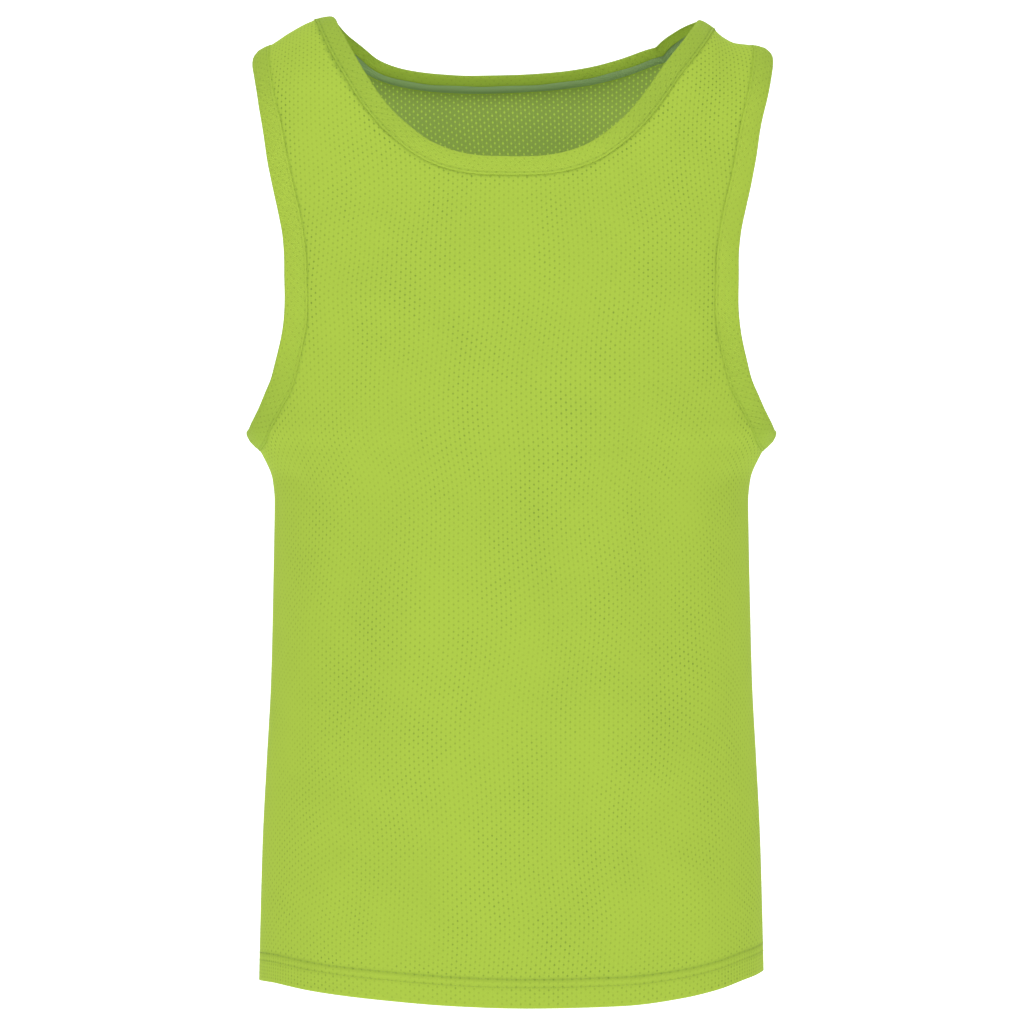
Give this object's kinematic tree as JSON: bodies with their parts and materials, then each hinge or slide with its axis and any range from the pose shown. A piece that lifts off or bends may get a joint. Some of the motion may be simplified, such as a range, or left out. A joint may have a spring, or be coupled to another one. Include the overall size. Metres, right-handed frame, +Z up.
{
  "type": "mesh training bib",
  "caption": "Sleeveless pull-on training bib of eyelet mesh, worn shape, with bound neck and armholes and a turned-up hem.",
  "frame": {"origin": "midway between the two places where the cloth rests on the shoulders, at their height", "axes": "+Z up along the body, +X towards the wearer's left, -Y towards the front"},
  "size_m": [0.3956, 0.2437, 0.7255],
  "materials": {
    "mesh_cloth": "matt knitted polyester eyelet mesh, lime green",
    "binding_cloth": "matt folded strip of the same knit, lime green"
  },
  "bodies": {
    "root": {"front": "mesh_cloth", "back": "mesh_cloth", "neck_binding": "binding_cloth", "armhole_binding_left": "binding_cloth", "armhole_binding_right": "binding_cloth"}
  },
  "joints": []
}
